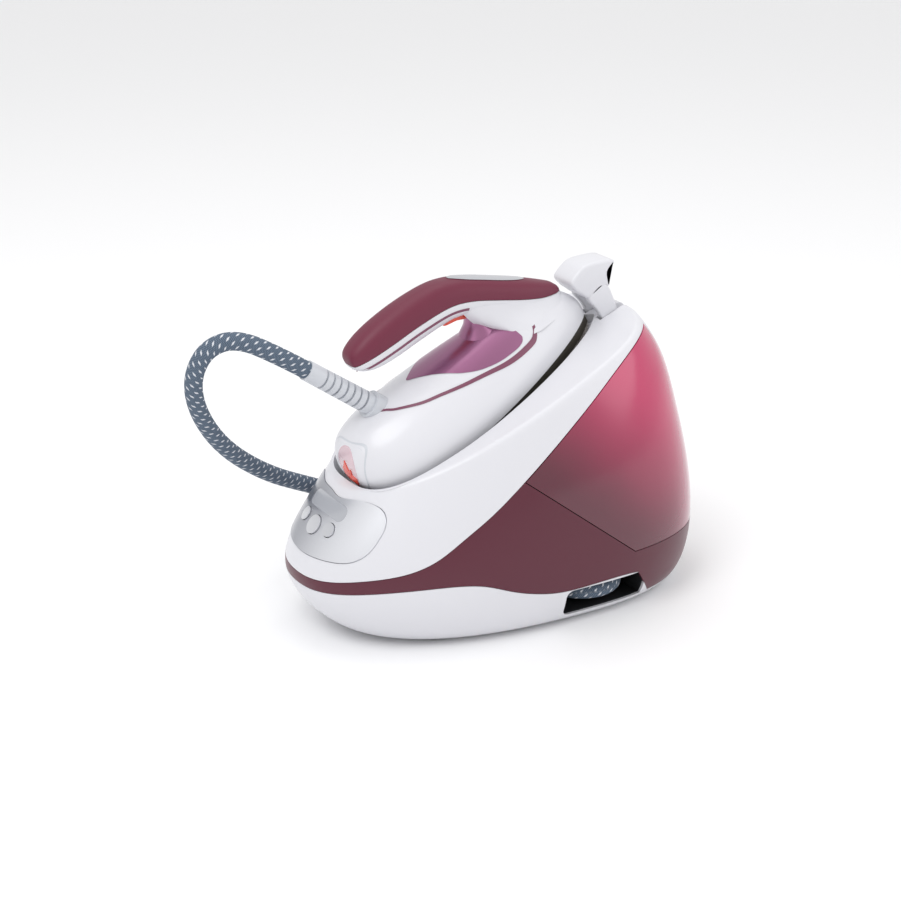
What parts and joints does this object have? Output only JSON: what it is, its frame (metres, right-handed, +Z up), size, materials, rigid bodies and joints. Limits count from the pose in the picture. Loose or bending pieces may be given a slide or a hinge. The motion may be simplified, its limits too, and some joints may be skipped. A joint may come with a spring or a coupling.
{
  "type": "steam generator iron",
  "caption": "Steam generator iron: a boiler base with a tilted cradle, pull-out water tank and lock bail, and a hose-fed steam iron parked on it.",
  "frame": {"origin": "under the middle of the base, on the surface it stands on", "axes": "+X towards the water tank at the rear, -X towards the control fascia, +Z up, -Y towards the side with the hose tunnel's open mouth"},
  "size_m": [0.4673, 0.4294, 0.2958],
  "materials": {
    "white_plastic": "smooth, softly glossy moulding",
    "maroon_plastic": "smooth, softly glossy moulding",
    "grip_maroon": "fine satin soft-touch",
    "mauve_metallic": "metallic lacquer",
    "silver_plastic": "metallic lacquer, darker towards one side",
    "tank_pink": "translucent tinted moulding",
    "flap_pink": "translucent tinted moulding",
    "window_pink": "clear tinted window",
    "red_plastic": "glossy moulding",
    "grey_plastic": "satin moulding",
    "button_silver": "satin metallic cap",
    "lens_grey": "clear lens over a grey mask",
    "skirt_brown": "heat-proof moulding",
    "sole_steel": "polished ironing face",
    "chamber_aluminium": "as cast",
    "heater_steel": "drawn tube",
    "boiler_steel": "pressed sheet",
    "black_plastic": "fine texture",
    "pipe_white": "silicone tube",
    "brass": "turned",
    "pin_steel": "ground",
    "board_green": "coated board",
    "foot_rubber": "moulded",
    "hose_fabric": "braided cover with light flecks"
  },
  "bodies": {
    "base": {"lower_shell": "white_plastic", "middle_shell": "maroon_plastic", "top_shell": "white_plastic", "cradle_tray": "white_plastic", "front_rest": "foot_rubber", "rear_rest": "foot_rubber", "fascia": "silver_plastic", "indicator_lens": "lens_grey", "control_board": "board_green", "hose_tunnel": "black_plastic", "hose_anchor": "black_plastic", "hose_gland": "foot_rubber", "mains_inlet": "black_plastic", "feet": "foot_rubber", "case_screws": "pin_steel", "boiler": "boiler_steel", "boiler_element": "heater_steel", "boiler_thermostat": "black_plastic", "steam_valve": "brass", "pump": "black_plastic", "water_pipe": "pipe_white", "steam_pipe": "pipe_white", "valve_seat": "foot_rubber", "steam_hose": "hose_fabric"},
    "main_button": {"main_button": "button_silver"},
    "near_button": {"near_button": "button_silver"},
    "far_button": {"far_button": "button_silver"},
    "bail": {"lock_bail": "white_plastic", "bail_pin": "pin_steel"},
    "tank": {"tank_body": "tank_pink", "flap_hinge": "flap_pink", "flap_pin": "pin_steel", "tank_grip": "maroon_plastic", "tank_valve": "grey_plastic"},
    "flap": {"tank_flap": "flap_pink"},
    "iron": {"soleplate": "sole_steel", "steam_chamber": "chamber_aluminium", "sole_element": "heater_steel", "iron_thermostat": "black_plastic", "heat_skirt": "skirt_brown", "iron_cover": "white_plastic", "saddle": "mauve_metallic", "trim_stripes": "maroon_plastic", "handle_frame": "white_plastic", "grip": "grip_maroon", "handle_panel": "silver_plastic", "trigger_pin": "pin_steel", "trigger_switch": "black_plastic", "heel_window": "window_pink", "heel_reflector": "red_plastic", "hose_cuff": "grey_plastic"},
    "trigger": {"steam_trigger": "red_plastic"}
  },
  "joints": [
    {"name": "iron_lift", "type": "slide", "parent": "base", "child": "iron", "axis": [-0.7009, 0, 0.7132], "range_m": [0, 0.09], "deforming": ["steam_hose"]},
    {"name": "trigger_pull", "type": "hinge", "parent": "iron", "child": "trigger", "pos_m": [-0.02673, 0, 0.27226], "axis": [0, 1, 0], "range_deg": [0, 5], "stiffness_Nm_per_rad": 0.3, "springref_deg": -2.86},
    {"name": "bail_swing", "type": "hinge", "parent": "base", "child": "bail", "pos_m": [0.117, 0, 0.231], "axis": [0, 1, 0], "range_deg": [0, 50]},
    {"name": "tank_pull", "type": "slide", "parent": "base", "child": "tank", "axis": [1, 0, 0], "range_m": [0, 0.16]},
    {"name": "flap_swing", "type": "hinge", "parent": "tank", "child": "flap", "pos_m": [0.17004, 0, 0.18472], "axis": [0, -1, 0], "range_deg": [0, 95]},
    {"name": "main_button_press", "type": "slide", "parent": "base", "child": "main_button", "axis": [0.8, 0, -0.6], "range_m": [0, 0.002], "stiffness_N_per_m": 600, "springref_m": -0.001},
    {"name": "near_button_press", "type": "slide", "parent": "base", "child": "near_button", "axis": [0.8, 0, -0.6], "range_m": [0, 0.002], "stiffness_N_per_m": 600, "springref_m": -0.001},
    {"name": "far_button_press", "type": "slide", "parent": "base", "child": "far_button", "axis": [0.8, 0, -0.6], "range_m": [0, 0.002], "stiffness_N_per_m": 600, "springref_m": -0.001}
  ]
}
